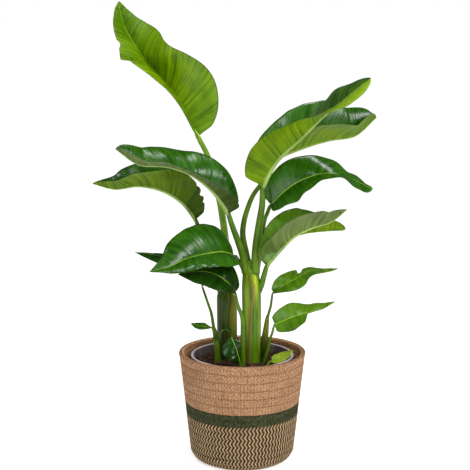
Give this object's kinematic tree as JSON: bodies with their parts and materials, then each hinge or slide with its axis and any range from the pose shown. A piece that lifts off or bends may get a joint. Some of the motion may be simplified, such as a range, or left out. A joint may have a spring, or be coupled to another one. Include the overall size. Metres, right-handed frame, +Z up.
{
  "type": "potted bird of paradise",
  "caption": "Potted bird of paradise with long stalked, folded leaves, in a plastic nursery pot inside a round basket of sewn flat braid with a dark green band.",
  "frame": {"origin": "centre of the basket's underside, on the surface it stands on", "axes": "+Z up along the basket, the leaves fan out along X and face -Y"},
  "size_m": [0.569, 0.2514, 0.908],
  "materials": {
    "two_tone_braid": "matte flat braid in beige and dark brown",
    "green_braid": "matte flat braid, dark green",
    "tan_braid": "matte natural jute braid",
    "pot_plastic": "grey-brown moulded plastic",
    "potting_soil": "moist dark soil with bark chips",
    "stem_green": "smooth fleshy green sheaths",
    "old_sheath": "drying yellow-green sheaths with brown edges",
    "dark_leaf": "waxy dark green leaf, lighter rib and underside",
    "bright_leaf": "waxy yellow-green leaf, lighter rib"
  },
  "bodies": {
    "root": {"basket_base": "two_tone_braid", "basket_lower_wall": "two_tone_braid", "basket_green_band": "green_braid", "basket_upper_wall": "tan_braid", "nursery_pot": "pot_plastic", "root_ball": "potting_soil", "main_stem": "stem_green", "rear_stem": "old_sheath", "left_shoot_stem": "stem_green", "right_shoot_stem": "old_sheath", "crown_leaf": "bright_leaf", "upper_left_leaf": "dark_leaf", "lower_left_leaf": "dark_leaf", "rear_upper_right_leaf": "dark_leaf", "front_upper_right_leaf": "bright_leaf", "right_middle_leaf": "dark_leaf", "right_lower_leaf": "dark_leaf", "left_middle_leaf": "dark_leaf", "shaded_leaf": "dark_leaf", "hidden_small_leaf": "dark_leaf", "low_left_leaf": "dark_leaf", "low_right_sprout": "dark_leaf", "folded_leaf": "dark_leaf", "right_upper_small_leaf": "dark_leaf", "right_lower_small_leaf": "bright_leaf", "pot_seedling_leaf": "bright_leaf"}
  },
  "joints": []
}
